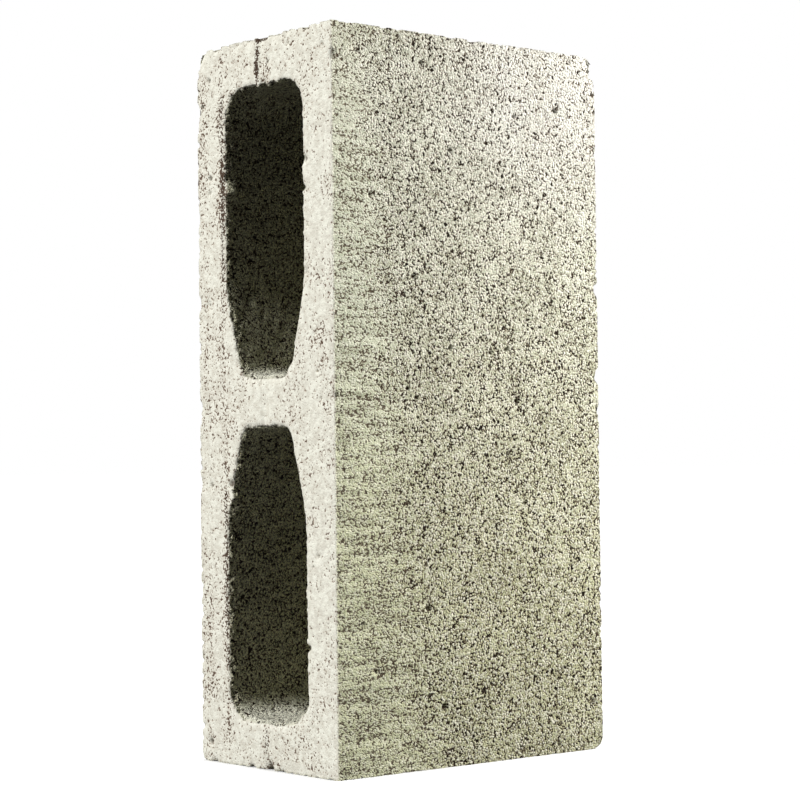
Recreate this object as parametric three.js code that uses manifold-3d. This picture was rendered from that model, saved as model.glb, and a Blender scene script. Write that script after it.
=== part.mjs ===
// Two-core hollow concrete masonry block, stood on one end.
//
// Frame: millimetres. +Z is the block's length, Y its height in a laid course and X the thickness
// of the wall it builds. The origin is at the centre of the end that it stands on.
//
// The block is cast in one piece. Damp concrete is rammed into a steel box round two hanging
// cores. The face at -Y was the open top of that box: it has the wide core mouths, and the
// shallow strip that the bar carrying the cores leaves across the webs. The face at +Y lay on the
// pallet. The cores narrow towards it, so that the mould draws off upwards, and the shells and
// webs are thicker there. Towards the middle web both shells swell into haunches.
import * as THREE from "three";
import { mergeVertices } from "three/addons/utils/BufferGeometryUtils.js";
import Module from "manifold-3d";

// Outside sizes
const LENGTH = 390; // along Z
const COURSE_HEIGHT = 190; // along Y, between the bed faces
const WALL_THICKNESS = 120; // along X, between the outer faces of the shells
const MOULD_CORNER = 1; // radius of the four edges that the mould box's corners form
const TOP_ARRIS = 1; // radius round the mould-top face
const PALLET_ARRIS = 1; // radius round the pallet face

// Walls, at the mould-top end of the cores and behind the lips of their mouths
const FACE_SHELL = 26;
const END_WEB = 25.5;
const MIDDLE_WEB = 29.5;

// Cores
const DRAFT_DEGREES = 1.5; // lean of every core wall
const END_CORNER = 16; // radius against the end webs
const MIDDLE_CORNER = 9; // radius against the middle web
const HAUNCH_LENGTH = 47; // how far each haunch runs along the shell
const HAUNCH_DEPTH = 13.5; // how far it narrows the core on each side
const HAUNCH_BEND = 60; // radius of the bend where it leaves the shell

// Lips, the radii round a core's mouths
const SHELL_LIP = 1.5; // mould top, along the shells
const END_WEB_LIP = 2; // mould top, against the end webs
const MIDDLE_WEB_LIP = 5; // mould top, against the middle web
const PALLET_LIP = 1; // all round the mouth at the pallet

// Strip left by the core bar, along Z across the webs
const BAR_MARK_WIDTH = 7; // at the face
const BAR_MARK_DEPTH = 1;
const BAR_MARK_SIDE = 1; // run of each sloping side

// Finish of the curves, and how far a cutter passes the face that it leaves by
const CORNER_STEPS = 7;
const LIP_STEPS = 3;
const OVERRUN = 1;

const CONCRETE = new THREE.MeshStandardMaterial({
  name: "concrete",
  color: new THREE.Color(0.62, 0.6, 0.52),
  roughness: 0.95,
  metalness: 0,
});

const wasm = await Module();
wasm.setup();

/** The ring round a polygon with rounded corners, each [x, z, radius], anticlockwise from -Y. */
function roundedRing(corners) {
  const ring = [];
  corners.forEach(([x, z, radius], i) => {
    const [xBefore, zBefore] = corners.at(i - 1);
    const [xAfter, zAfter] = corners[(i + 1) % corners.length];
    const corner = new THREE.Vector2(x, z);
    const back = new THREE.Vector2(xBefore - x, zBefore - z);
    const ahead = new THREE.Vector2(xAfter - x, zAfter - z);
    back.normalize();
    ahead.normalize();
    const sweep = Math.PI - back.angleTo(ahead);
    const tangent = radius * Math.tan(sweep / 2);
    const inward = back.clone().add(ahead).normalize();
    const centre = corner.clone().addScaledVector(inward, Math.hypot(tangent, radius));
    const start = corner.clone().addScaledVector(back, tangent);
    for (let step = 0; step <= CORNER_STEPS; step += 1) {
      ring.push(start.clone().rotateAround(centre, (sweep * step) / CORNER_STEPS));
    }
  });
  return ring;
}

/** A closed skin through rings of equal length, each { y, ring }, from the lowest y to the highest. */
function loft(sections) {
  const count = sections[0].ring.length;
  const positions = sections.flatMap(({ y, ring }) => ring.flatMap((p) => [p.x, y, p.y]));
  const triangles = [];
  for (let s = 0; s + 1 < sections.length; s += 1) {
    for (let i = 0; i < count; i += 1) {
      const a = s * count + i;
      const b = s * count + ((i + 1) % count);
      triangles.push(a, b + count, b, a, a + count, b + count);
    }
  }
  const last = (sections.length - 1) * count;
  for (const [a, b, c] of THREE.ShapeUtils.triangulateShape(sections[0].ring, [])) {
    triangles.push(a, b, c);
  }
  for (const [a, b, c] of THREE.ShapeUtils.triangulateShape(sections.at(-1).ring, [])) {
    triangles.push(last + a, last + c, last + b);
  }
  return new THREE.BufferGeometry()
    .setAttribute("position", new THREE.Float32BufferAttribute(positions, 3))
    .setIndex(triangles);
}

/** The same geometry as a solid that can be cut. */
function solid(geometry) {
  const bare = geometry.clone();
  bare.deleteAttribute("normal");
  bare.deleteAttribute("uv");
  const merged = mergeVertices(bare);
  const mesh = new wasm.Mesh({
    numProp: 3,
    vertProperties: merged.attributes.position.array,
    triVerts: new Uint32Array(merged.index.array),
  });
  return new wasm.Manifold(mesh);
}

/** A solid as a flat-shaded geometry. */
function geometryOf(made) {
  const { vertProperties, triVerts } = made.getMesh();
  const geometry = new THREE.BufferGeometry()
    .setAttribute("position", new THREE.BufferAttribute(vertProperties, 3))
    .setIndex(new THREE.BufferAttribute(triVerts, 1))
    .toNonIndexed();
  geometry.computeVertexNormals();
  return geometry;
}

/** How far a quarter-round edge has fallen back at a distance from the face that it meets. */
function fallBack(radius, distance) {
  const left = Math.max(radius - distance, 0);
  return radius - Math.sqrt(radius * radius - left * left);
}

/** Distances from a face at which a quarter-round edge is sampled, from the face inwards. */
function edgeStations(radius) {
  return Array.from({ length: LIP_STEPS + 1 }, (_, i) => {
    return radius * (1 - Math.cos((Math.PI / 2) * (i / LIP_STEPS)));
  });
}

/** Depths below the mould top at which a section is taken, to follow every edge radius given. */
function depthsFor(topRadii, palletRadius) {
  const top = topRadii.flatMap(edgeStations);
  const pallet = edgeStations(palletRadius).map((distance) => COURSE_HEIGHT - distance);
  return [...new Set([...top, ...pallet])].sort((a, b) => a - b);
}

const MOULD_TOP = -COURSE_HEIGHT / 2;

/** The block's outside, with its four mould corners and its two arrises rounded. */
function outside() {
  const sections = depthsFor([TOP_ARRIS], PALLET_ARRIS).map((depth) => {
    const inset =
      fallBack(TOP_ARRIS, depth) + fallBack(PALLET_ARRIS, COURSE_HEIGHT - depth);
    const half = WALL_THICKNESS / 2 - inset;
    const ring = roundedRing([
      [half, inset, MOULD_CORNER],
      [half, LENGTH - inset, MOULD_CORNER],
      [-half, LENGTH - inset, MOULD_CORNER],
      [-half, inset, MOULD_CORNER],
    ]);
    return { y: MOULD_TOP + depth, ring };
  });
  return solid(loft(sections));
}

/** A core's outline at a depth. Side is 1 for the core above the middle web, -1 for the one below. */
function coreRing(depth, side) {
  const lean = depth * Math.tan(THREE.MathUtils.degToRad(DRAFT_DEGREES));
  const flare = fallBack(PALLET_LIP, COURSE_HEIGHT - depth) - lean;
  const wide = WALL_THICKNESS / 2 - FACE_SHELL + flare + fallBack(SHELL_LIP, depth);
  const narrow = wide - HAUNCH_DEPTH;
  // Distances from the block's middle
  const atEnd = LENGTH / 2 - END_WEB + flare + fallBack(END_WEB_LIP, depth);
  const atWeb = MIDDLE_WEB / 2 - flare;
  const atMiddle = atWeb - fallBack(MIDDLE_WEB_LIP, depth);
  const atBend = atWeb + HAUNCH_LENGTH;
  const outline = [
    [wide, atBend, HAUNCH_BEND],
    [wide, atEnd, END_CORNER],
    [-wide, atEnd, END_CORNER],
    [-wide, atBend, HAUNCH_BEND],
    [-narrow, atMiddle, MIDDLE_CORNER],
    [narrow, atMiddle, MIDDLE_CORNER],
  ];
  const placed = outline.map(([x, z, radius]) => [x, LENGTH / 2 + side * z, radius]);
  return roundedRing(side > 0 ? placed : placed.reverse());
}

/** The steel core that leaves one cell, long enough to pass both bed faces. */
function core(side) {
  const topLips = [SHELL_LIP, END_WEB_LIP, MIDDLE_WEB_LIP];
  const sections = depthsFor(topLips, PALLET_LIP).map((depth) => {
    return { y: MOULD_TOP + depth, ring: coreRing(depth, side) };
  });
  const first = sections[0];
  const last = sections.at(-1);
  return solid(
    loft([
      { y: first.y - OVERRUN, ring: first.ring },
      ...sections,
      { y: last.y + OVERRUN, ring: last.ring },
    ]),
  );
}

/** The shallow trapezoid that the core bar presses into the mould-top face, end to end. */
function barMark() {
  const mouth = BAR_MARK_WIDTH / 2;
  const floor = mouth - BAR_MARK_SIDE;
  const slope = BAR_MARK_SIDE / BAR_MARK_DEPTH;
  const outer = mouth + OVERRUN * slope;
  const profile = new THREE.Shape([
    new THREE.Vector2(-outer, -OVERRUN),
    new THREE.Vector2(outer, -OVERRUN),
    new THREE.Vector2(floor, BAR_MARK_DEPTH),
    new THREE.Vector2(-floor, BAR_MARK_DEPTH),
  ]);
  const bar = new THREE.ExtrudeGeometry(profile, {
    depth: LENGTH + 2 * OVERRUN,
    bevelEnabled: false,
  });
  bar.translate(0, MOULD_TOP, -OVERRUN);
  return solid(bar);
}

const cast = outside().subtract(core(1)).subtract(core(-1)).subtract(barMark());

const block = new THREE.Mesh(geometryOf(cast), CONCRETE);
block.name = "block";

const group = new THREE.Group();
group.add(block);

export default group;
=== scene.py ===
"""Looks of the hollow concrete block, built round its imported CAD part. Everything is in metres.

One displaced skin replaces the CAD node. The skin carries masks, which say where the paste is
dragged, where the face is crumbly and so on, and one procedural material colours it by them.
"""

from itertools import product
from math import radians

import bpy
import numpy as np
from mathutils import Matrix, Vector


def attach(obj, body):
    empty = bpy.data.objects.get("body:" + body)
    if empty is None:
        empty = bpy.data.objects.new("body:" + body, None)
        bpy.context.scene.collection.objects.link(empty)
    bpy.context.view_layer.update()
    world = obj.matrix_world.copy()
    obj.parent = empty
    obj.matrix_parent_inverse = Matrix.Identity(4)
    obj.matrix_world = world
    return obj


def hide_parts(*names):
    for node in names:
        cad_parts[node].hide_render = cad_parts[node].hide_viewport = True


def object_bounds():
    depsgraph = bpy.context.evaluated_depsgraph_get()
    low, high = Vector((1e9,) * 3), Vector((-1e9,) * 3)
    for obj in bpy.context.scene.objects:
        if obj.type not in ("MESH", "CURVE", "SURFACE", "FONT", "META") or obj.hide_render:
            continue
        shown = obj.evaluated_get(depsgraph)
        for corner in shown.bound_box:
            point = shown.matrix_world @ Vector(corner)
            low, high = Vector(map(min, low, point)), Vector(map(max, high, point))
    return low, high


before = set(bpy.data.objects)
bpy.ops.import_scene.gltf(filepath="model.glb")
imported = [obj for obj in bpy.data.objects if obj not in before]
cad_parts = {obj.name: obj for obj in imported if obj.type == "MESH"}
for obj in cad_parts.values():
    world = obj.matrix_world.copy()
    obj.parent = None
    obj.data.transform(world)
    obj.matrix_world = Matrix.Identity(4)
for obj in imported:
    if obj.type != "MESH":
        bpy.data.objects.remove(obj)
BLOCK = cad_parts["block"]
CAD_LOW, CAD_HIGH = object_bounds()

MM = 0.001
SEED = 20

# The block's box. The shells face along X, the bed faces along Y, and the block stands on one end.
LOW, HIGH = np.array(CAD_LOW), np.array(CAD_HIGH)
CENTRE = (LOW + HIGH) / 2
WIDE, DEEP, TALL = HIGH - LOW

# The faces of that box again, in whole mm. The camera sees the right shell and the mould top.
LEFT, MOULD_TOP, BASE = (round(value / MM) for value in CAD_LOW)
RIGHT, PALLET_SIDE, TOP = (round(value / MM) for value in CAD_HIGH)


# Seeded noise, sampled at points in metres

CELL_MARGIN = 3  # spare cells outside the block on every side
SMALLEST_PIT = 0.55  # radius of the smallest pit, as a share of the largest


def random_cells(size, channels, seed):
    """A box of random numbers from 0 to 1, one set for each cell that the block reaches."""
    counts = np.ceil((HIGH - LOW) / size).astype(int) + 2 * CELL_MARGIN
    return np.random.default_rng(seed).random((*counts, channels), dtype=np.float32)


def cell_position(points, size):
    """Points counted in cells, and the whole cell that each of them is in."""
    place = (points - LOW) / size + CELL_MARGIN
    return place, np.floor(place).astype(int)


def smooth_step(part):
    """0 at 0 and 1 at 1, and level at both."""
    return part * part * (3 - 2 * part)


def ramp(value, low, high):
    """0 at low, 1 at high and a smooth step between them."""
    return smooth_step(np.clip((value - low) / (high - low), 0, 1))


def fall(value, low, high):
    """1 at low, 0 at high and a smooth step between them."""
    return 1 - ramp(value, low, high)


def smooth_noise(points, size, seed):
    """Soft noise from -1 to 1 whose blobs are about size across. Size may differ by axis."""
    cells = random_cells(size, 1, seed)[..., 0]
    place, base = cell_position(points, size)
    part = smooth_step(place - base)
    total = np.zeros(len(points))
    for steps in product((0, 1), repeat=3):
        corner = cells[tuple((base + steps).T)]
        weight = np.ones(len(points))
        for axis, step in enumerate(steps):
            weight *= part[:, axis] if step else 1 - part[:, axis]
        total += corner * weight
    return 2 * total - 1


def layered_noise(points, size, seed):
    """Smooth noise, and half as much of it again at half the size, still from -1 to 1."""
    size = np.asarray(size, float)
    return (smooth_noise(points, size, seed) + smooth_noise(points, size / 2, seed + 1) / 2) / 1.5


def pits(points, size, share, radius, seed):
    """Round hollows from 0 to 1 deep. One is at a random place in a share of the cells."""
    cells = random_cells(size, 5, seed)
    place, base = cell_position(points, size)
    depth = np.zeros(len(points))
    for steps in product((-1, 0, 1), repeat=3):
        cell = base + steps
        here = cells[tuple(cell.T)]
        spot, chance, breadth = here[:, :3], here[:, 3], here[:, 4]
        offset = (cell + spot - place) * size
        reach = radius * (SMALLEST_PIT + (1 - SMALLEST_PIT) * breadth) * (chance < share)
        square = (offset**2).sum(1) / np.maximum(reach, 1e-9) ** 2
        depth = np.maximum(depth, 1 - square)
    return np.clip(depth, 0, 1)


# Marks that the block carries, placed from the photograph: centre, reach along X, Y and Z,
# and depth, all in mm. A depth below zero is a lump that stands out of the wall.

ARRIS_CHIPS = (
    ((-42, MOULD_TOP, TOP), (4.5, 4, 2.6), 1.9),
    ((0.7, MOULD_TOP, TOP), (5.5, 7, 3.5), 2.2),
    ((38.5, MOULD_TOP, TOP), (5, 4, 2.4), 1.9),
    ((RIGHT, 2, TOP), (3, 5, 2.6), 1.7),
    ((LEFT, MOULD_TOP, 357), (3, 4, 5), 1.6),
    ((LEFT, MOULD_TOP, 250), (3, 4, 6), 1.3),
    ((LEFT, MOULD_TOP, 192), (3, 4, 7), 1.4),
    ((RIGHT, MOULD_TOP, 197), (3, 2.5, 2.5), 1.2),
    ((RIGHT, MOULD_TOP, 372), (3, 2.5, 4), 1.2),
    ((-48, MOULD_TOP, BASE), (4, 4, 2.4), 0.8),
    ((-15, MOULD_TOP, BASE), (4, 4, 2), 0.7),
    ((1, MOULD_TOP, BASE), (5, 5, 4.5), 2.2),
    ((11, MOULD_TOP, BASE), (3, 3, 2), 0.7),
)

# Round the mouths of the cores, and the two sides of the core-bar mark in the top web
RIM_CHIPS = (
    ((-4.6, MOULD_TOP, 373), (1.0, 3, 7), 0.8),
    ((3.4, MOULD_TOP, 377), (1.1, 3, 6.5), 0.8),
    ((0.5, -94, 366), (6, 3, 1.6), 1.2),
    ((35.6, MOULD_TOP, 321.5), (3, 4, 3), 1.8),
    ((35.4, MOULD_TOP, 306), (3, 4, 2.5), 1.5),
    ((35.3, MOULD_TOP, 66), (3, 4, 3), 1.8),
    ((36, MOULD_TOP, 262), (3, 4, 3), 1.2),
    ((-30, MOULD_TOP, 303), (4, 5, 3.5), 2.0),
    ((-33, -93, 318), (3, 5, 3), 1.6),
    ((-34, -93, 338), (3, 5, 3), 1.4),
    ((-31.5, MOULD_TOP, 151), (3, 4, 3), 1.8),
    ((-29, MOULD_TOP, 243), (3, 4, 3), 1.5),
    ((-33, -91, 311), (6, 7, 5.5), -4.6),
    ((-33, -92, 142.5), (5, 6, 9), -2.6),
    ((-3.5, -93, 365.5), (3, 4, 4), -2.0),
    ((5.5, -93, 365), (3.5, 4, 4), -1.6),
    ((13, -93, 366), (3, 4, 3), -1.4),
)

# Single open pits of the mould top: X, Z and radius in mm
MOULD_TOP_PITS = (
    (52, 378.5, 2.0),
    (22.8, 383.5, 1.7),
    (5.0, 376, 1.6),
    (3.6, 370, 1.4),
    (-49, 373, 2.4),
    (-55, 359, 1.9),
    (-48.7, 319, 2.3),
    (-48.8, 311, 1.8),
    (-40, 313, 1.8),
    (-37, 307, 2.0),
    (-50, 249, 1.9),
    (-4.3, 205, 2.1),
    (0, 185.5, 1.9),
    (45.5, 209.5, 2.1),
    (44, 229, 1.6),
    (47.8, 195.5, 1.6),
    (38.4, 285.5, 1.5),
    (40.3, 108.5, 1.7),
    (44.6, 114, 1.6),
    (-49.6, 150.5, 2.2),
    (-52, 11, 3.0),
)

# Single open pits of the right shell: Y, Z and radius in mm
SHELL_PITS = (
    (-78, 376, 2.0),
    (-48, 357.5, 2.1),
    (-34.6, 374, 2.2),
    (-29, 382, 1.9),
    (64, 357, 2.6),
    (-14, 329, 2.1),
    (-40, 299, 2.1),
    (33, 351, 2.2),
    (33, 312, 2.0),
    (-70, 302, 1.8),
    (-41, 260, 2.2),
    (-16, 223, 2.4),
    (25, 223, 2.3),
    (13, 221, 2.3),
    (-46, 201, 1.9),
    (-40, 196, 2.0),
    (32, 195, 2.6),
    (25, 166, 2.4),
    (37.5, 139, 2.1),
    (-78, 79, 1.9),
    (-69, 54, 1.9),
    (-33, 85, 2.8),
    (-23, 32, 3.4),
    (61, 5, 2.0),
    (-47, 9, 1.8),
    (88, 27, 2.3),
)
PIT_REACH = 0.8  # reach of a single pit, as a share of its radius
PIT_DEPTH = 0.8  # depth of a single pit, as a share of its radius

# Wear along the far edge of the right shell, which leaves the surface clean
WORN_EDGE = (
    ((RIGHT, PALLET_SIDE, 386), (7, 8, 9), 2.2),
    ((RIGHT, PALLET_SIDE, 380.5), (6, 8, 5), 2.8),
    ((RIGHT, PALLET_SIDE, 259), (4, 4, 5), 2.0),
    ((RIGHT, PALLET_SIDE, 209), (4, 4, 5), 2.0),
)

# Corners of the box that are worn round, and corners of the cores that are filled
WORN_CORNERS = (
    ((LEFT, MOULD_TOP, TOP), (13, 12, 14), 4.6),
    ((RIGHT, PALLET_SIDE, TOP), (12, 12, 9), 2.5),
    ((RIGHT, PALLET_SIDE, BASE), (9, 9, 7), 3.0),
    ((LEFT, MOULD_TOP, BASE), (8, 8, 6), 1.2),
    ((24, -91, 210), (11, 8, 9), -5.0),
    ((-22, -92, 211), (7, 8, 8), -2.2),
    ((22, -92, 24), (20, 9, 10), -3.2),
    ((31, -92, 29), (9, 8, 9), -2.4),
    ((-16, -92, 24), (12, 8, 8), -1.8),
)

# Where the mould top is crumbly and open: centre and reach in mm, and how open it is there
CRUMBLY = (
    ((-55, MOULD_TOP, 330), (9, 4, 60), 0.7),
    ((-54, MOULD_TOP, 200), (8, 4, 90), 0.5),
    ((-53, MOULD_TOP, 60), (9, 4, 70), 0.7),
    ((-40, MOULD_TOP, 345), (7, 4, 35), 1),
    ((-37, MOULD_TOP, 310), (4, 4, 160), 1.6),
    ((-36, MOULD_TOP, 110), (4, 4, 160), 1.4),
    ((-30, MOULD_TOP, 362), (8, 4, 7), 1.2),
    ((0, MOULD_TOP, 376), (8, 4, 20), 1),
    ((0.5, MOULD_TOP, 389.5), (5.5, 4, 2.5), 2.2),
    ((38.5, MOULD_TOP, 389.5), (5, 4, 2), 3),
    ((-3.8, MOULD_TOP, 388.5), (4, 4, 3), 3.4),
    ((-4.4, MOULD_TOP, 382), (2.4, 4, 5), 3.4),
    ((-4.8, MOULD_TOP, 374), (2.2, 4, 13), 3.4),
    ((3.4, MOULD_TOP, 375), (2.2, 4, 13), 1.6),
    ((-2, MOULD_TOP, 14), (4, 4, 40), 1.3),
    ((2, MOULD_TOP, 4), (5, 4, 8), 1),
    ((48, MOULD_TOP, 215), (8, 4, 30), 0.6),
)

BITE_REACH = 1.6  # how far out the ragged rim of a bite may run, in reaches
BITE_RAGGED = 0.45
BITE_CRUMB = 2.6 * MM
BITE_WALL = 0.75  # share of the reach in which a bite gets to its full depth


def reaches_away(points, centre, reach):
    """Distances from a centre, counted in its reach."""
    offset = (points - np.array(centre) * MM) / (np.array(reach) * MM)
    return np.sqrt((offset**2).sum(1))


def bite(points, centre, reach):
    """A hollow with a ragged rim round a point: how deep it is, from 0 to 1, at each place."""
    away = reaches_away(points, centre, reach)
    depth = np.zeros(len(points))
    close = np.flatnonzero(away < BITE_REACH)
    rough = BITE_RAGGED * layered_noise(points[close], BITE_CRUMB, SEED + 90)
    depth[close] = ramp(1 - away[close] + rough, 0, BITE_WALL)
    return depth


def bites(points, places):
    """Depth in mm of a list of ragged hollows."""
    return sum(deep * bite(points, centre, reach) for centre, reach, deep in places)


def near(points, centre, reach):
    """1 at a point in mm, falling evenly to 0 at its reach."""
    return 1 - np.minimum(reaches_away(points, centre, reach), 1)


def single_pit(centre, radius):
    """One open pit as a mark."""
    return centre, (PIT_REACH * radius,) * 3, PIT_DEPTH * radius


def marks(points):
    """Depth in mm of every chip, lump and single pit that the block carries."""
    open_pits = [single_pit((x, MOULD_TOP, z), radius) for x, z, radius in MOULD_TOP_PITS]
    open_pits += [single_pit((RIGHT, y, z), radius) for y, z, radius in SHELL_PITS]
    return bites(points, ARRIS_CHIPS) + bites(points, RIM_CHIPS) + bites(points, open_pits)


def worn(points):
    """Depth in mm of the wear that leaves a clean surface."""
    depth = bites(points, WORN_EDGE)
    for centre, reach, deep in WORN_CORNERS:
        depth += deep * near(points, centre, reach) ** 2
    return depth


def crumbly_places(points):
    """How open and crumbly the mould top is."""
    return np.max([openness * near(points, *spot) for *spot, openness in CRUMBLY], axis=0)


# The zones of the surface. Each band says how far in a zone is still full, and where it has ended.

FACE_BAND = 1.2 * MM, 2.4 * MM
MOULD_TOP_BAND = 1.0 * MM, 2.2 * MM
MOULD_TOP_FACING = 0.5, 0.9
PALLET_BAND = 1.2 * MM, 3 * MM
EDGE_BAND = 0.5 * MM, 4 * MM
EDGE_CRUMB_SIZE = 3.2 * MM
LIP_BAND = 1.5 * MM, 6 * MM
LIP_SLANT = 0.05, 0.5
CORE_INSET = 12 * MM  # the cores and their lips lie further in than this
SILL_BAND = 6 * MM
SILL_FACING = 0.2, 0.8
MOUTH_BAND = 24 * MM, 92 * MM
MOUTH_FACING = 0.4, 0.9
MOUTH_RAGGED = 5 * MM
RAGGED_SIDE = 0.35 * WIDE, 0.65 * WIDE  # the rims on the left are more ragged than on the right
CRISP_SIDE = WIDE - 6 * MM, WIDE - 2 * MM
CRISP_BAND = 2 * MM, 6 * MM
CRISP_FOOT_BAND = 3 * MM, 8 * MM
CRISP_FOOT = 0.6

# Near the mould top the paste is dragged along Y as the mould is drawn off, most of it low down.
DRAG_REACH = 20 * MM
DRAG_REACH_MORE = 42 * MM
DRAG_BAND = 0.2, 1.7
DRAG_WANDER = 14 * MM
DRAG_WANDER_SIZE = np.array([30, 30, 9]) * MM

# The paste is closed towards the top, and more so towards the pallet side.
# Its mask also pales the colour there, partly as a painted highlight.
CLOSED_HEIGHTS = 0.55 * TALL, TALL
CLOSED_DEPTHS = 0.1 * DEEP, 0.8 * DEEP
CLOSED_AT_MOULD_TOP = 0.25


def edge_distances(points):
    """Distances in from the sides, the bed faces and the ends of the block's box."""
    x, y, z = (points - LOW).T
    return np.stack([np.minimum(x, WIDE - x), np.minimum(y, DEEP - y), np.minimum(z, TALL - z)])


class Zones:
    """Where the points of the skin lie: their distances in metres, and masks from 0 to 1."""

    def __init__(self, points, normals):
        self.points = points
        self.x, self.y, self.z = (points - LOW).T
        self.facing_y, self.facing_up = normals[:, 1], normals[:, 2]
        self.to_side, self.to_bed, self.to_end = edge_distances(points)
        self.crumbs = layered_noise(points, EDGE_CRUMB_SIZE, SEED + 10)
        self.crumbly = crumbly_places(points)
        self.find_faces()
        self.find_edges()
        self.find_core_rims()
        self.find_paste()

    def find_faces(self):
        """The mould top, the pallet side, the moulded shells and ends, and the cores."""
        outside = np.maximum(fall(self.to_side, *FACE_BAND), fall(self.to_end, *FACE_BAND))
        self.mould_top = fall(self.y, *MOULD_TOP_BAND) * ramp(-self.facing_y, *MOULD_TOP_FACING)
        self.pallet_side = fall(DEEP - self.y, *PALLET_BAND)
        self.moulded = outside * (1 - self.mould_top)
        self.core = (1 - outside) * (1 - self.mould_top) * (1 - self.pallet_side)

    def find_edges(self):
        """The outside's edges, and where they stay crisp: at the near arris and round the foot."""
        to_edge = np.sort(np.stack([self.to_side, self.to_bed, self.to_end]), axis=0)[1]
        self.edge = (1 - self.core) * fall(to_edge, *EDGE_BAND)
        crisp = ramp(self.x, *CRISP_SIDE) * fall(self.y, *CRISP_BAND)
        self.crisp = np.maximum(crisp, CRISP_FOOT * fall(self.z, *CRISP_FOOT_BAND))

    def find_core_rims(self):
        """The lips of the cores, their left parts, the edges of their floors and their mouths."""
        inner = (self.to_side > CORE_INSET) & (self.to_end > CORE_INSET)
        slant = ramp(1 - self.facing_y**2, *LIP_SLANT)
        self.lip = inner * slant * fall(self.to_bed, *LIP_BAND)
        self.ragged = fall(self.x, *RAGGED_SIDE)
        self.sill = inner * ramp(self.facing_up, *SILL_FACING) * np.clip(1 - self.y / SILL_BAND, 0, 1) ** 2
        # The mouth mask marks the floors by the mouths of the cores, which carry painted light
        inward = self.y + MOUTH_RAGGED * self.crumbs
        self.mouth = inner * ramp(self.facing_up, *MOUTH_FACING) * fall(inward, *MOUTH_BAND)

    def find_paste(self):
        """Where the moulded faces are dragged, and where they are closed and paler, partly by a painted
        highlight.
        """
        wander = layered_noise(self.points, DRAG_WANDER_SIZE, SEED + 1)
        reach = DRAG_REACH + DRAG_REACH_MORE * (1 - self.z / TALL)
        full, none = DRAG_BAND
        self.dragged = self.moulded * fall(self.y + DRAG_WANDER * wander, full * reach, none * reach)
        inward = CLOSED_AT_MOULD_TOP + (1 - CLOSED_AT_MOULD_TOP) * ramp(self.y, *CLOSED_DEPTHS)
        self.closed = ramp(self.z, *CLOSED_HEIGHTS) * inward


# Relief: how far the surface falls back from the mould. Depths are in mm.

# Round pits between the grains: size of the cells, share of them with a pit, and largest radius
SMALL_PITS = 3.8 * MM, 0.75, 1.35 * MM
LARGE_PITS = 8 * MM, 0.55, 2.0 * MM
SMALL_PIT_DEPTH = 1.0
LARGE_PIT_DEPTH = 1.3

# How rough each kind of surface is, as a share of the roughest
MOULDED_ROUGH = 0.55
DRAGGED_LESS_ROUGH = 0.4
CORE_ROUGH = 1.0
MOULD_TOP_ROUGH = 0.12
PALLET_ROUGH = 0.3
EDGE_LESS_ROUGH = 0.5

# Clumps in which the pits are deep, and between which they are shallower
CLUMP_SIZE = 12 * MM
CLUMP_BAND = -0.35, 0.45
CLOSED_LESS_OPEN = 0.6
OPEN_LEAST = 0.35

# Coarse unevenness on top of the pits, and a slow wave under them
COARSE_SIZE = 4.5 * MM
COARSE_LEAST = 0.08
COARSE_DEPTH = 0.55
COARSE_MIDDLE = 0.3
COARSE_SWING = 0.9
WAVE_SIZE = 22 * MM
WAVE_DEPTH = 0.1

# Grooves along Y where the paste is dragged
STREAK_SIZE = np.array([3, 15, 2.8]) * MM
STREAK_BAND = 0.0, 0.4
STREAK_DEPTH = 0.3

# Edges and lips. The ragged rims on the left have what is called more on top of the rest.
EDGE_DEPTH = 1.1
EDGE_BITE_BAND = 0.0, 0.6
CRISP_LESS = 0.85
LIP_SIZE = 2.2 * MM
LIP_DEPTH = 1
LIP_MORE = 0.6
CRUMB_SIZE = 1.5 * MM
CRUMB_DEPTH = 0.3
CRUMB_MORE = 1.3
SILL_DEPTH = 0.9

# Depths from which a place gets painted shade as a cavity, or has to keep its mesh fine
CAVITY_SHADE_DEPTHS = 0.75, 1.9
MARKED_DEPTHS = 0.1, 0.5
CRUMBLY_FINE = 0.9, 1.3


def grain_relief(at):
    """Open grains and pits on every face, a coarse unevenness, and grooves where paste is dragged."""
    clumps = layered_noise(at.points, CLUMP_SIZE, SEED + 3)
    coarse = layered_noise(at.points, COARSE_SIZE, SEED + 4)
    wave = layered_noise(at.points, WAVE_SIZE, SEED + 5)
    streaks = layered_noise(at.points, STREAK_SIZE, SEED + 2)
    large = pits(at.points, *LARGE_PITS, SEED + 7)
    small = pits(at.points, *SMALL_PITS, SEED + 8)
    openness = ramp(clumps, *CLUMP_BAND) * (1 - CLOSED_LESS_OPEN * at.closed)
    rough = at.moulded * (MOULDED_ROUGH - DRAGGED_LESS_ROUGH * at.dragged) + CORE_ROUGH * at.core
    rough += MOULD_TOP_ROUGH * at.mould_top + PALLET_ROUGH * at.pallet_side
    rough = np.clip(rough, 0, 1) * (1 - EDGE_LESS_ROUGH * at.edge)
    hollow = SMALL_PIT_DEPTH * small + LARGE_PIT_DEPTH * large
    depth = rough * (OPEN_LEAST + (1 - OPEN_LEAST) * openness) * hollow
    depth += (COARSE_LEAST + COARSE_DEPTH * rough) * np.clip(COARSE_MIDDLE + COARSE_SWING * coarse, 0, 1)
    depth += WAVE_DEPTH * (0.5 + 0.5 * wave)
    return depth + STREAK_DEPTH * at.dragged * ramp(-streaks, *STREAK_BAND)


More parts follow.
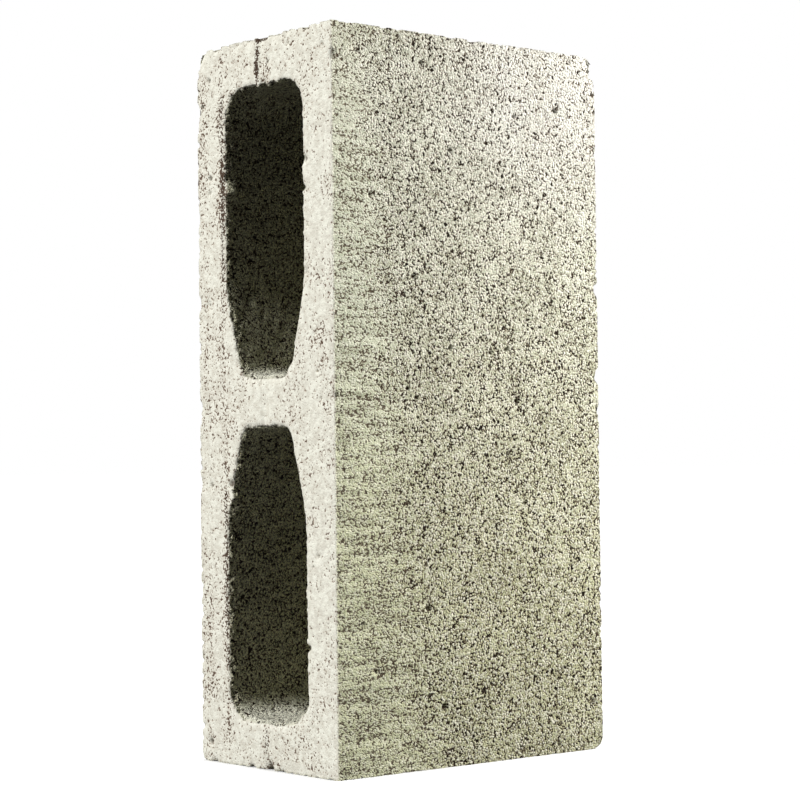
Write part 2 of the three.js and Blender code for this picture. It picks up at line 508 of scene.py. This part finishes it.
def edge_relief(at):
    """Crumbled edges of the outside, and uneven lips of the cores with single crumbs out of them."""
    depth = at.edge * (1 - CRISP_LESS * at.crisp) * EDGE_DEPTH * ramp(at.crumbs, *EDGE_BITE_BAND)
    uneven = layered_noise(at.points, LIP_SIZE, SEED + 11)
    crumbs = smooth_noise(at.points, CRUMB_SIZE, SEED + 12)
    depth += at.lip * (LIP_DEPTH + LIP_MORE * at.ragged) * uneven
    return depth + at.lip * (CRUMB_DEPTH + CRUMB_MORE * at.ragged) * crumbs


def relief(points, normals):
    """Depth of the surface in metres, masks for the material, and where the mesh has to stay fine."""
    at = Zones(points, normals)
    marked = marks(points)
    depth = grain_relief(at) + edge_relief(at) + marked
    # Painted shade: how far the deep hollows outside the cores are darkened in the colour
    cavity = ramp(depth, *CAVITY_SHADE_DEPTHS) * (1 - at.core)
    depth += SILL_DEPTH * at.sill + worn(points)
    masks = {"dragged": at.dragged, "core": at.core, "bed": at.mould_top, "closed": at.closed}
    masks |= {"cavity": cavity, "mouth": at.mouth, "crumbly": at.crumbly}
    in_mark = ramp(abs(marked), *MARKED_DEPTHS)
    fine = np.max([at.edge, at.lip, in_mark, ramp(at.crumbly, *CRUMBLY_FINE)], axis=0)
    return depth * MM, masks, fine


# The cast skin

SKIN_VOXEL = 1.0 * MM
SKIN_TRIANGLES = 190_000
CORE_THINNING = 0.75  # how much of the mesh inside the cores is thinned out first
IN_CORE = 0.5  # a point with more than this much of the core's mask lies in a core
FINE = 0.3  # a point with more than this much of the fine mask keeps its triangles
SHARP_ANGLE = radians(55)

# Heights of the lips of the two core floors, how far round them the skin is smoothed, and how
# far out from the middle of the block, all in mm
SILLS = 24, 207
SILL_BELOW = 12
SILL_ABOVE = 18
SILL_DEEP = 12
SILL_HALF_WIDTH = 42
SILL_STEPS = 50
SILL_STEP = 0.5

# A point this near an arris is drawn out to it, onto the faces that are about as near as the nearest
ARRIS_REACH = 1.4 * MM
ARRIS_MERGE = 0.45 * MM


def bake_modifiers(thing):
    """Replaces an object's mesh by what its modifiers make of it."""
    bpy.context.view_layer.update()
    evaluated = thing.evaluated_get(bpy.context.evaluated_depsgraph_get())
    mesh = bpy.data.meshes.new_from_object(evaluated)
    thing.modifiers.clear()
    thing.data = mesh


def vertex_arrays(mesh):
    """Places and normals of a mesh's vertices."""
    count = len(mesh.vertices)
    places = np.empty(count * 3, np.float32)
    normals = np.empty(count * 3, np.float32)
    mesh.vertices.foreach_get("co", places)
    mesh.vertex_normals.foreach_get("vector", normals)
    return places.reshape(-1, 3).astype(float), normals.reshape(-1, 3).astype(float)


def move_vertices(mesh, places):
    """Puts a mesh's vertices at new places, kept inside the block's box."""
    inside = np.clip(places, LOW, HIGH)
    mesh.vertices.foreach_set("co", inside.astype(np.float32).ravel())
    mesh.update()


def vertex_group(skin, name, chosen):
    """A named group of the chosen vertices."""
    group = skin.vertex_groups.new(name=name)
    group.add(np.flatnonzero(chosen).tolist(), 1, "REPLACE")
    return group.name


def dense_skin():
    """A closed, even mesh of the block's CAD solid, fine enough to carry its texture."""
    skin = bpy.data.objects.new("cast_block", BLOCK.data.copy())
    bpy.context.scene.collection.objects.link(skin)
    remesh = skin.modifiers.new("remesh", "REMESH")
    remesh.mode = "VOXEL"
    remesh.voxel_size = SKIN_VOXEL
    bake_modifiers(skin)
    return skin


def round_sills(skin):
    """Wears the lips of the core floors at the mould top round, by smoothing the skin along them."""
    across, inward, height = ((vertex_arrays(skin.data)[0] - LOW) / MM).T
    between_shells = abs(across - (RIGHT - LEFT) / 2) < SILL_HALF_WIDTH
    by_sill = np.zeros(len(height), bool)
    for sill in SILLS:
        by_sill |= (height - sill > -SILL_BELOW) & (height - sill < SILL_ABOVE)
    smooth = skin.modifiers.new("sills", "SMOOTH")
    smooth.factor = SILL_STEP
    smooth.iterations = SILL_STEPS
    smooth.vertex_group = vertex_group(skin, "sills", by_sill & (inward < SILL_DEEP) & between_shells)
    bake_modifiers(skin)


def sharpened(points):
    """Points with the outside's edges, which remeshing has rounded, drawn out to clean arrises."""
    distances = edge_distances(points)
    nearest, second, _ = np.sort(distances, axis=0)
    to_face = (second < ARRIS_REACH) & (distances < nearest + ARRIS_MERGE)
    return np.where(to_face.T, np.where(points > CENTRE, HIGH, LOW), points)


def thin_out(skin, core, fine):
    """Fewer triangles: first inside the cores alone, and then everywhere but along the edges."""
    faces = 2 * len(skin.data.polygons)
    inside = vertex_group(skin, "inside", (core > IN_CORE) & (fine < FINE))
    plain = vertex_group(skin, "plain", fine < FINE)
    first = skin.modifiers.new("first", "DECIMATE")
    first.ratio = 1 - CORE_THINNING * (core > IN_CORE).mean()
    first.vertex_group = inside
    second = skin.modifiers.new("second", "DECIMATE")
    second.ratio = SKIN_TRIANGLES / (faces * first.ratio)
    second.vertex_group = plain
    bake_modifiers(skin)
    move_vertices(skin.data, vertex_arrays(skin.data)[0])


def add_masks(mesh, masks):
    """Gives a mesh one named value for each vertex and mask."""
    for name, values in masks.items():
        attribute = mesh.attributes.new(name, "FLOAT", "POINT")
        attribute.data.foreach_set("value", values.astype(np.float32))


def cast_block():
    """The block's visible skin: its CAD shape with the texture, wear and chips of the cast face."""
    skin = dense_skin()
    round_sills(skin)
    points, normals = vertex_arrays(skin.data)
    points = sharpened(points)
    depth, masks, fine = relief(points, normals)
    add_masks(skin.data, masks)
    move_vertices(skin.data, points - normals * depth[:, None])
    if 2 * len(skin.data.polygons) > SKIN_TRIANGLES:
        thin_out(skin, masks["core"], fine)
    skin.data.polygons.foreach_set("use_smooth", np.ones(len(skin.data.polygons), bool))
    skin.data.set_sharp_from_angle(angle=SHARP_ANGLE)
    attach(skin, "root")
    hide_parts("block")
    return skin


# Colours of the concrete. Where there are two, a slow patchiness runs from one to the other.

SIDE_PASTE = (0.45, 0.448, 0.335), (0.56, 0.555, 0.435)
LOW_PASTE = (0.445, 0.44, 0.26), (0.55, 0.54, 0.33)  # towards the foot of the block
# Paler and greyer where the paste is closed: partly closer paste, partly a painted highlight towards the
# top and the pallet side
CLOSED_PASTE_AND_HIGHLIGHT = (0.52, 0.50, 0.43), (0.60, 0.585, 0.52)
SMEARED_PASTE = (0.43, 0.44, 0.315), (0.555, 0.565, 0.425)  # in one streak and in the next
SMEARED_LOW = (0.43, 0.44, 0.275), (0.575, 0.58, 0.375)
BED_PASTE = (0.645, 0.62, 0.53), (0.79, 0.78, 0.68)
# Painted light: the near-white floors of the cores by their mouths, where the light falls in
MOUTH_PAINTED_LIGHT = (0.96, 0.95, 0.78)
CORE_FACE = (0.78, 0.77, 0.54)
# Painted shade inside the cores, which deepens towards the top
CORE_PAINTED_SHADE = (0.055, 0.06, 0.035)
PALE_GRAIN = (0.86, 0.83, 0.72)
# Gaps: brown where shallow, partly the paste's own colour and partly painted shade, and near-black painted
# shade where deep
SIDE_GAP = (0.20, 0.13, 0.078)
SMEARED_GAP = (0.225, 0.182, 0.122)
DEEP_GAP_SHADE = (0.016, 0.010, 0.005)
BED_FLECK = (0.47, 0.37, 0.28)
BED_SPECK = (0.10, 0.065, 0.045)
# Painted shade in deep pits and chips, and in the flecks where the mould top is crumbly
CAVITY_SHADE = (0.07, 0.045, 0.03)

# Patterns. Scales are per metre. A point's gap value runs from 0 at the middle of a grain to about
# 1 deep in a gap, and each amount below is added to it or taken from it.

WANDER_SCALE = 0.9  # scale of the noise that makes grains irregular, as a share of their own
MIDDLE_GAP = 0.48  # the gap value about which two patterns are blended

# Grains of the moulded faces, and the finer noise that splits them up
GRAINS = 840
GRAIN_WANDER = 0.7 * MM
GRAIN_SPLITS = 1250
GRAIN_SPLIT = 1.3

# The same where the paste is dragged and the grains are drawn out along Y
DRAWN_GRAINS = 950
DRAWN_OUT = 1.5
DRAWN_WANDER = 0.6 * MM
DRAWN_SPLITS = 1400
DRAWN_SPLIT = 1.25

# Streaks along Y that have more gaps and fewer
STREAKS = 440
STREAK_OUT = 13
STREAK_AMOUNT = 0.62
STREAK_SHIFT = -0.02

# Lumps with more gaps and fewer on every side, and what the closed faces and the mouths have less
LUMPS = 230
LUMP_AMOUNT = 0.5
CLOSED_LESS = 0.08
MOUTH_LESS = 0.05

# Flecks of the mould top, split up and in patches, and how many more there are where it is crumbly
BED_WANDER = 0.8 * MM
BED_SPLITS = 900
BED_SPLIT = 1.3
BED_PATCHES = 60
BED_PATCH_AMOUNT = 0.7
CRUMBLY_MORE = 0.30

# Larger stones, which have no gaps in them, and round pits. Both lie in cells of one pattern: the
# bands are distances from a cell's middle, and the numbers say which of the cells have one.
STONES = 150
STONE_WANDER = 2.5 * MM
STONE_BAND = 0.55, 0.3
STONE_NUMBERS = 0.5, 0.55
STONE_CLEAR = 0.18
PIT_BAND = 0.17, 0.08
PIT_NUMBERS = 0.45, 0.40
PIT_MORE = 0.6

# Gap values, or masks, between which one colour gives way to the next
SHALLOW_GAPS = 0.54, 0.67
DEEP_GAPS = 0.61, 0.745
BED_FLECKS = 0.765, 0.865
BED_SPECKS = 0.845, 0.945
BED_FLECK_STRENGTH = 0.85
DARK_CRUMBS = 0.6, 1.2
CLOSED_BAND = 0.15, 1
PALE_NUMBERS = 0.35, 1
PALE_STRENGTH = 0.6
PALE_STRENGTH_SMEARED = 0.36
SMEARED_DEEP = 0.62
CAVITY_SHADE_STRENGTH = 0.85

# Patchiness: its scale for each metre, and the noise values between which it turns over
PATCHES = 45
PATCH_BAND = 0.35, 0.65
BED_MOTTLE = 330
PALE_STREAKS = 0.62, 0.38
# Painted shade: a dark net over the walls inside the cores
CORE_SHADE_NET = 1100
CORE_SHADE_NET_BAND = 0.45, 0.58
CORE_SHADE_NET_STRENGTH = 0.65

# Heights in metres: each change begins at the first and is complete at the second
LOW_PASTE_HEIGHTS = 0.33, 0.05
SMEARED_HEIGHTS = 0.42, 0.28
SMEARED_LOW_HEIGHTS = 0.26, 0.12
# Painted shade inside the cores: it begins at the first height and is full at the second
CORE_SHADE_HEIGHTS = 0.1, 0.36
CORE_SHADE_AMOUNT = 0.34

ROUGHNESS = 0.95
SPECULAR = 0.2

# Bump that the gaps make: its depth, and how much of it each kind of surface has
BUMP = 1.0 * MM
SMEARED_BUMP = 0.5
CORE_BUMP = 1.5
BED_BUMP = 0.2


class Nodes:
    """Short names for making a material's nodes and links."""

    def __init__(self, name):
        self.material = bpy.data.materials.new(name)
        self.material.use_nodes = True
        self.tree = self.material.node_tree
        self.shader = self.tree.nodes["Principled BSDF"]
        self.output = self.tree.nodes["Material Output"]

    def node(self, kind, **settings):
        """A new shader node."""
        node = self.tree.nodes.new("ShaderNode" + kind)
        for name, value in settings.items():
            setattr(node, name, value)
        return node

    def feed(self, socket, value):
        """Links a node's output to a socket, or sets the socket to a number or a colour."""
        if isinstance(value, bpy.types.NodeSocket):
            self.tree.links.new(value, socket)
        elif isinstance(value, tuple):
            socket.default_value = (*value, 1)
        else:
            socket.default_value = value

    def attribute(self, name):
        """One of the masks that the mesh carries."""
        return self.node("Attribute", attribute_name=name).outputs["Fac"]

    def noise(self, place, scale, detail=2, roughness=0.6):
        """Soft noise about 0.5."""
        node = self.node("TexNoise")
        self.feed(node.inputs["Vector"], place)
        node.inputs["Scale"].default_value = scale
        node.inputs["Detail"].default_value = detail
        node.inputs["Roughness"].default_value = roughness
        return node.outputs["Fac"]

    def span(self, value, low, high, to_low=0.0, to_high=1.0):
        """A smooth step from to_low to to_high as value goes from low to high, which may be lower."""
        node = self.node("MapRange", interpolation_type="SMOOTHSTEP")
        ends = {"Value": value, "From Min": low, "From Max": high, "To Min": to_low, "To Max": to_high}
        for name, end in ends.items():
            self.feed(node.inputs[name], end)
        return node.outputs["Result"]

    def fade(self, mask, at_none, at_full):
        """A number that runs from at_none to at_full as a mask runs from 0 to 1."""
        return self.span(mask, 0, 1, at_none, at_full)

    def math(self, operation, a, b=0):
        """One step of arithmetic."""
        node = self.node("Math", operation=operation)
        self.feed(node.inputs[0], a)
        self.feed(node.inputs[1], b)
        return node.outputs[0]

    def plus(self, a, b):
        return self.math("ADD", a, b)

    def minus(self, a, b):
        return self.math("SUBTRACT", a, b)

    def times(self, a, b):
        return self.math("MULTIPLY", a, b)

    def number_mix(self, factor, a, b):
        """Number a where factor is 0, and b where it is 1."""
        node = self.node("Mix", data_type="FLOAT")
        for socket, value in zip((0, 2, 3), (factor, a, b)):
            self.feed(node.inputs[socket], value)
        return node.outputs[0]

    def mix(self, factor, a, b):
        """Colour a where factor is 0, and b where it is 1."""
        node = self.node("Mix", data_type="RGBA")
        for socket, value in zip((0, 6, 7), (factor, a, b)):
            self.feed(node.inputs[socket], value)
        return node.outputs[2]


# Patterns


def stretched(nodes, place, times_longer):
    """Object coordinates drawn out along Y, for marks that run that way."""
    node = nodes.node("VectorMath", operation="MULTIPLY")
    nodes.feed(node.inputs[0], place)
    node.inputs[1].default_value = (1, 1 / times_longer, 1)
    return node.outputs[0]


def packed_grains(nodes, place, per_metre, wander):
    """Irregular packed grains: how far a point is into the gaps, and a number for each grain."""
    noise = nodes.node("TexNoise")
    nodes.feed(noise.inputs["Vector"], place)
    noise.inputs["Scale"].default_value = WANDER_SCALE * per_metre
    noise.inputs["Detail"].default_value = 2
    shift = nodes.node("VectorMath", operation="MULTIPLY_ADD")
    nodes.feed(shift.inputs[0], noise.outputs["Color"])
    shift.inputs[1].default_value = (2 * wander,) * 3
    nodes.feed(shift.inputs[2], place)
    cells = nodes.node("TexVoronoi", feature="F1")
    nodes.feed(cells.inputs["Vector"], shift.outputs[0])
    cells.inputs["Scale"].default_value = per_metre
    number = nodes.node("SeparateColor")
    nodes.feed(number.inputs[0], cells.outputs["Color"])
    return cells.outputs["Distance"], number.outputs[0]


def swing(nodes, place, per_metre, amount):
    """Noise about zero, times an amount."""
    return nodes.times(nodes.minus(nodes.noise(place, per_metre), 0.5), amount)


def even_blend(nodes, factor, a, b):
    """A blend of two patterns about one middle value that keeps its contrast all the way across."""
    first = nodes.math("POWER", nodes.minus(1, factor), 0.5)
    second = nodes.math("POWER", factor, 0.5)
    first = nodes.times(nodes.minus(a, MIDDLE_GAP), first)
    second = nodes.times(nodes.minus(b, MIDDLE_GAP), second)
    return nodes.plus(nodes.plus(first, second), MIDDLE_GAP)


def stones_and_pits(nodes, place):
    """Below zero on larger stones, which have no gaps in them, and above zero in sparse round pits."""
    away, number = packed_grains(nodes, place, STONES, STONE_WANDER)
    stone = nodes.times(nodes.span(away, *STONE_BAND), nodes.span(number, *STONE_NUMBERS))
    pit = nodes.times(nodes.span(away, *PIT_BAND), nodes.span(number, *PIT_NUMBERS))
    return nodes.minus(nodes.times(pit, PIT_MORE), nodes.times(stone, STONE_CLEAR))


def drawn_gaps(nodes, place):
    """Gaps between grains that are drawn out along Y, in streaks with more of them and with fewer."""
    along = stretched(nodes, place, DRAWN_OUT)
    gaps, _ = packed_grains(nodes, along, DRAWN_GRAINS, DRAWN_WANDER)
    gaps = nodes.plus(gaps, swing(nodes, along, DRAWN_SPLITS, DRAWN_SPLIT))
    streaks = swing(nodes, stretched(nodes, place, STREAK_OUT), STREAKS, STREAK_AMOUNT)
    return nodes.plus(gaps, nodes.plus(streaks, STREAK_SHIFT))


def side_gaps(nodes, place, mask):
    """How far a point of the sides lies into the gaps between the grains, and a number per grain."""
    gaps, number = packed_grains(nodes, place, GRAINS, GRAIN_WANDER)
    gaps = nodes.plus(gaps, swing(nodes, place, GRAIN_SPLITS, GRAIN_SPLIT))
    gaps = even_blend(nodes, mask["dragged"], gaps, drawn_gaps(nodes, place))
    gaps = nodes.plus(gaps, swing(nodes, place, LUMPS, LUMP_AMOUNT))
    gaps = nodes.minus(gaps, nodes.times(mask["closed"], CLOSED_LESS))
    gaps = nodes.minus(gaps, nodes.times(mask["mouth"], MOUTH_LESS))
    return nodes.plus(gaps, stones_and_pits(nodes, place)), number


def bed_gaps(nodes, place, mask):
    """How far a point of the mould top lies into its flecks."""
    gaps, _ = packed_grains(nodes, place, GRAINS, BED_WANDER)
    gaps = nodes.plus(gaps, swing(nodes, place, BED_SPLITS, BED_SPLIT))
    gaps = nodes.plus(gaps, swing(nodes, place, BED_PATCHES, BED_PATCH_AMOUNT))
    return nodes.plus(gaps, nodes.times(mask["crumbly"], CRUMBLY_MORE))


# Colour


def moulded_paste(nodes, place, height, closed):
    """Greenish cement paste in patches, more yellow towards the foot, and paler and greyer where it is
    closed, partly as a painted highlight.
    """
    patch = nodes.span(nodes.noise(place, PATCHES, 3, 0.55), *PATCH_BAND)
    low = nodes.span(height, *LOW_PASTE_HEIGHTS)
    paste = nodes.mix(low, nodes.mix(patch, *SIDE_PASTE), nodes.mix(patch, *LOW_PASTE))
    return nodes.mix(nodes.span(closed, *CLOSED_BAND), paste, nodes.mix(patch, *CLOSED_PASTE_AND_HIGHLIGHT))


def smeared_paste(nodes, place, height):
    """Dragged paste, with a slightly different colour from streak to streak."""
    streak = nodes.span(nodes.noise(stretched(nodes, place, STREAK_OUT), STREAKS), *PALE_STREAKS)
    low = nodes.span(height, *SMEARED_LOW_HEIGHTS)
    return nodes.mix(low, nodes.mix(streak, *SMEARED_PASTE), nodes.mix(streak, *SMEARED_LOW))


def core_painted_shade_and_light(nodes, face, height, mask):
    """The face's colour outside the cores; inside them a pale face under painted shade that deepens with
    height, and painted light on the floors by the mouths.
    """
    up = nodes.times(nodes.span(height, *CORE_SHADE_HEIGHTS), CORE_SHADE_AMOUNT)
    paste = nodes.mix(nodes.times(mask["core"], up), nodes.mix(mask["core"], face, CORE_FACE), CORE_PAINTED_SHADE)
    return nodes.mix(mask["mouth"], paste, MOUTH_PAINTED_LIGHT)


def in_gaps(nodes, face, gaps, dragged):
    """The face's colour with painted shade in its gaps: brown where they are shallow, partly the paste's
    own colour, and near black where deep.
    """
    shallow = nodes.mix(dragged, SIDE_GAP, SMEARED_GAP)
    colour = nodes.mix(nodes.span(gaps, *SHALLOW_GAPS), face, shallow)
    deep = nodes.times(nodes.span(gaps, *DEEP_GAPS), nodes.fade(dragged, 1, SMEARED_DEEP))
    return nodes.mix(deep, colour, DEEP_GAP_SHADE)


def side_colour(nodes, place, mask, gaps, number):
    """Paste with paler grains in it and painted shade in the gaps between them, and a net of painted shade
    inside the cores.
    """
    parts = nodes.node("SeparateXYZ")
    nodes.feed(parts.inputs[0], place)
    height = parts.outputs[2]
    smeared = nodes.times(mask["dragged"], nodes.span(height, *SMEARED_HEIGHTS))
    moulded = moulded_paste(nodes, place, height, mask["closed"])
    face = nodes.mix(smeared, moulded, smeared_paste(nodes, place, height))
    pale = nodes.fade(mask["dragged"], PALE_STRENGTH, PALE_STRENGTH_SMEARED)
    face = nodes.mix(nodes.times(nodes.span(number, *PALE_NUMBERS), pale), face, PALE_GRAIN)
    face = core_painted_shade_and_light(nodes, face, height, mask)
    colour = in_gaps(nodes, face, gaps, mask["dragged"])
    # Painted shade: a dark net over the core walls, fading out on the floors by the mouths
    inside = nodes.times(mask["core"], nodes.fade(mask["mouth"], CORE_SHADE_NET_STRENGTH, 0))
    net = nodes.times(nodes.span(nodes.noise(place, CORE_SHADE_NET, 3), *CORE_SHADE_NET_BAND), inside)
    return nodes.mix(net, colour, DEEP_GAP_SHADE)


def bed_colour(nodes, place, gaps, crumbly):
    """Pale, close paste with soft brown flecks and a few dark specks, which turn to painted shade where it
    is crumbly.
    """
    face = nodes.mix(nodes.span(nodes.noise(place, BED_MOTTLE, 3), *PATCH_BAND), *BED_PASTE)
    dark = nodes.span(crumbly, *DARK_CRUMBS)
    flecks = nodes.times(nodes.span(gaps, *BED_FLECKS), BED_FLECK_STRENGTH)
    face = nodes.mix(flecks, face, nodes.mix(dark, BED_FLECK, CAVITY_SHADE))
    return nodes.mix(nodes.span(gaps, *BED_SPECKS), face, nodes.mix(dark, BED_SPECK, CAVITY_SHADE))


def concrete():
    """Pale greenish-grey concrete: grains with painted shade in their gaps, smeared paste and a smoother
    mould top.
    """
    nodes = Nodes("concrete")
    place = nodes.node("TexCoord").outputs["Object"]
    names = ("dragged", "core", "bed", "closed", "cavity", "mouth", "crumbly")
    mask = {name: nodes.attribute(name) for name in names}
    gaps, number = side_gaps(nodes, place, mask)
    flecks = bed_gaps(nodes, place, mask)
    sides = side_colour(nodes, place, mask, gaps, number)
    colour = nodes.mix(mask["bed"], sides, bed_colour(nodes, place, flecks, mask["crumbly"]))
    # Painted shade in the deep hollows
    colour = nodes.mix(nodes.times(mask["cavity"], CAVITY_SHADE_STRENGTH), colour, CAVITY_SHADE)
    nodes.feed(nodes.shader.inputs["Base Color"], colour)
    nodes.shader.inputs["Roughness"].default_value = ROUGHNESS
    nodes.shader.inputs["Specular IOR Level"].default_value = SPECULAR
    nodes.feed(nodes.shader.inputs["Normal"], grain_bump(nodes, mask, gaps, flecks))
    return nodes.material


def grain_bump(nodes, mask, gaps, flecks):
    """A normal that sinks into the gaps: deeper inside the cores and shallower in dragged paste."""
    sunk = nodes.times(gaps, nodes.fade(mask["dragged"], 1, SMEARED_BUMP))
    sunk = nodes.times(sunk, nodes.fade(mask["core"], 1, CORE_BUMP))
    bump = nodes.node("Bump", invert=True)
    bump.inputs["Strength"].default_value = 1.0
    bump.inputs["Distance"].default_value = BUMP
    nodes.feed(bump.inputs["Height"], nodes.number_mix(mask["bed"], sunk, nodes.times(flecks, BED_BUMP)))
    return bump.outputs["Normal"]


# Stage, light and camera

FLOOR_SIZE = 60
FLOOR_SEEN = (0.9, 0.9, 0.9)
FLOOR_LIT = (0.12, 0.12, 0.12)  # what the floor's colour is to the light that it sends back
FLOOR_ROUGHNESS = 0.9
FLOOR_GLOW = 1.15
SHADOW_SHARE = 0.25  # how much of the floor's own shadow shows beside the block
CONTACT = 5 * MM  # within this of the block's base all of the shadow shows
SHADOW_END = 0.5
AMBIENT = 0.03

# Softboxes: name, place, the point that it looks at, size and power in watts
SOFTBOXES = (
    ("key", (-1.2, -5.74, 4.0), (0, -0.095, 0.2), 2.0, 610),
    ("fill", (0.50, 0.544, 0.543), (0.06, 0.30, 0.306), 0.35, 15.3),
    ("back", (-3.2, 4.0, 3.5), (0, 0, 0.2), 1.6, 290),
)

# The camera that fits the block's edges in the photograph
CAMERA_PLACE = (0.971002, -0.815528, 0.162511)
CAMERA_DEGREES = (91.546932, 0.632801, 50.031018)
CAMERA_LENS = 102.214
CAMERA_SENSOR = 36
CAMERA_CLIP = 0.05, 50


def beyond_base(nodes):
    """How far a point of the floor lies outside the block's base."""
    parts = nodes.node("SeparateXYZ")
    nodes.feed(parts.inputs[0], nodes.node("TexCoord").outputs["Object"])
    outside = []
    for axis in (0, 1):
        from_middle = nodes.math("ABSOLUTE", parts.outputs[axis])
        outside.append(nodes.minus(from_middle, HIGH[axis].item()))
    return nodes.math("MAXIMUM", *outside)


def pale_floor():
    """White to the camera with the block's soft shadow, and dark to the light it would send back."""
    nodes = Nodes("floor")
    seen = nodes.node("LightPath").outputs["Is Camera Ray"]
    nodes.feed(nodes.shader.inputs["Base Color"], nodes.mix(seen, FLOOR_LIT, FLOOR_SEEN))
    nodes.shader.inputs["Roughness"].default_value = FLOOR_ROUGHNESS
    glow = nodes.node("Emission")
    glow.inputs["Color"].default_value = (1, 1, 1, 1)
    glow.inputs["Strength"].default_value = FLOOR_GLOW
    away = beyond_base(nodes)
    share = nodes.span(away, CONTACT, SHADOW_END, 1 - SHADOW_SHARE, 1.0)
    share = nodes.times(share, nodes.span(away, 0, CONTACT))
    blend = nodes.node("MixShader")
    nodes.feed(blend.inputs[0], nodes.times(seen, share))
    nodes.feed(blend.inputs[1], nodes.shader.outputs[0])
    nodes.feed(blend.inputs[2], glow.outputs[0])
    nodes.feed(nodes.output.inputs["Surface"], blend.outputs[0])
    return nodes.material


def floor():
    """A level floor under the block."""
    bpy.ops.mesh.primitive_plane_add(size=FLOOR_SIZE)
    plane = bpy.context.object
    plane.name = "floor"
    plane.data.materials.append(pale_floor())


def studio_world():
    """White behind the block, and a dim even light on it."""
    world = bpy.data.worlds.new("studio")
    world.use_nodes = True
    bpy.context.scene.world = world
    tree = world.node_tree
    background = tree.nodes["Background"]
    background.inputs["Color"].default_value = (1, 1, 1, 1)
    paths = tree.nodes.new("ShaderNodeLightPath")
    level = tree.nodes.new("ShaderNodeMapRange")
    level.inputs["To Min"].default_value = AMBIENT
    level.inputs["To Max"].default_value = 1.0
    tree.links.new(paths.outputs["Is Camera Ray"], level.inputs["Value"])
    tree.links.new(level.outputs["Result"], background.inputs["Strength"])


def softbox(name, place, target, size, power):
    """A square lamp that looks at a point and isn't seen itself."""
    light = bpy.data.lights.new(name, "AREA")
    light.shape = "SQUARE"
    light.size = size
    light.energy = power
    lamp = bpy.data.objects.new(name, light)
    bpy.context.scene.collection.objects.link(lamp)
    lamp.visible_camera = False
    lamp.location = place
    lamp.rotation_euler = (Vector(place) - Vector(target)).to_track_quat("Z", "Y").to_euler()


def camera():
    """The photograph's view."""
    data = bpy.data.cameras.new("camera")
    data.lens = CAMERA_LENS
    data.sensor_width = CAMERA_SENSOR
    data.clip_start, data.clip_end = CAMERA_CLIP
    thing = bpy.data.objects.new("camera", data)
    bpy.context.scene.collection.objects.link(thing)
    thing.location = CAMERA_PLACE
    thing.rotation_euler = [radians(degrees) for degrees in CAMERA_DEGREES]
    bpy.context.scene.camera = thing


block = cast_block()
block.data.materials.clear()
block.data.materials.append(concrete())
floor()
studio_world()
for box in SOFTBOXES:
    softbox(*box)
camera()
bpy.context.scene.view_settings.view_transform = "Standard"
